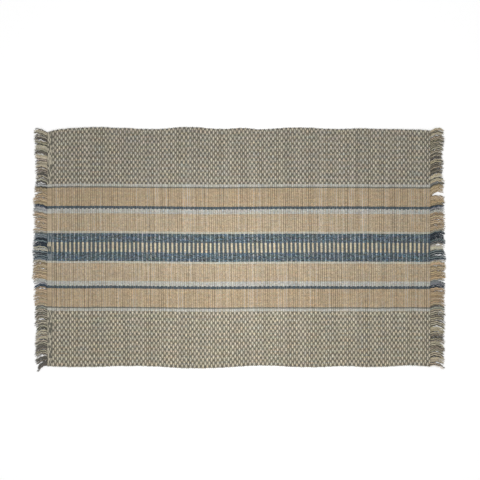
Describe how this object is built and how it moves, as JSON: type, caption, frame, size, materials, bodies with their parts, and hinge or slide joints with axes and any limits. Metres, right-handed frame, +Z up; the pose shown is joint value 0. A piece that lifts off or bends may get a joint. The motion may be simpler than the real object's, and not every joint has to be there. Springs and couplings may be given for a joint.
{
  "type": "throw rug",
  "caption": "Flat-woven ribbed cotton throw rug, oblong, with lengthwise stripes, checked borders and a short warp fringe at both ends.",
  "frame": {"origin": "on the floor under the middle of the rug", "axes": "+X along the rug's length, towards one fringe; +Y across its width, away from the viewer of the picture; +Z up, out of its face"},
  "size_m": [1.187, 0.7042, 0.0058],
  "materials": {
    "woven_cotton_field": "matte",
    "cotton_fringe_left": "matte",
    "cotton_fringe_right": "matte"
  },
  "bodies": {
    "root": {"rug_cloth": "woven_cotton_field", "fringe_left": "cotton_fringe_left", "fringe_right": "cotton_fringe_right"}
  },
  "joints": []
}
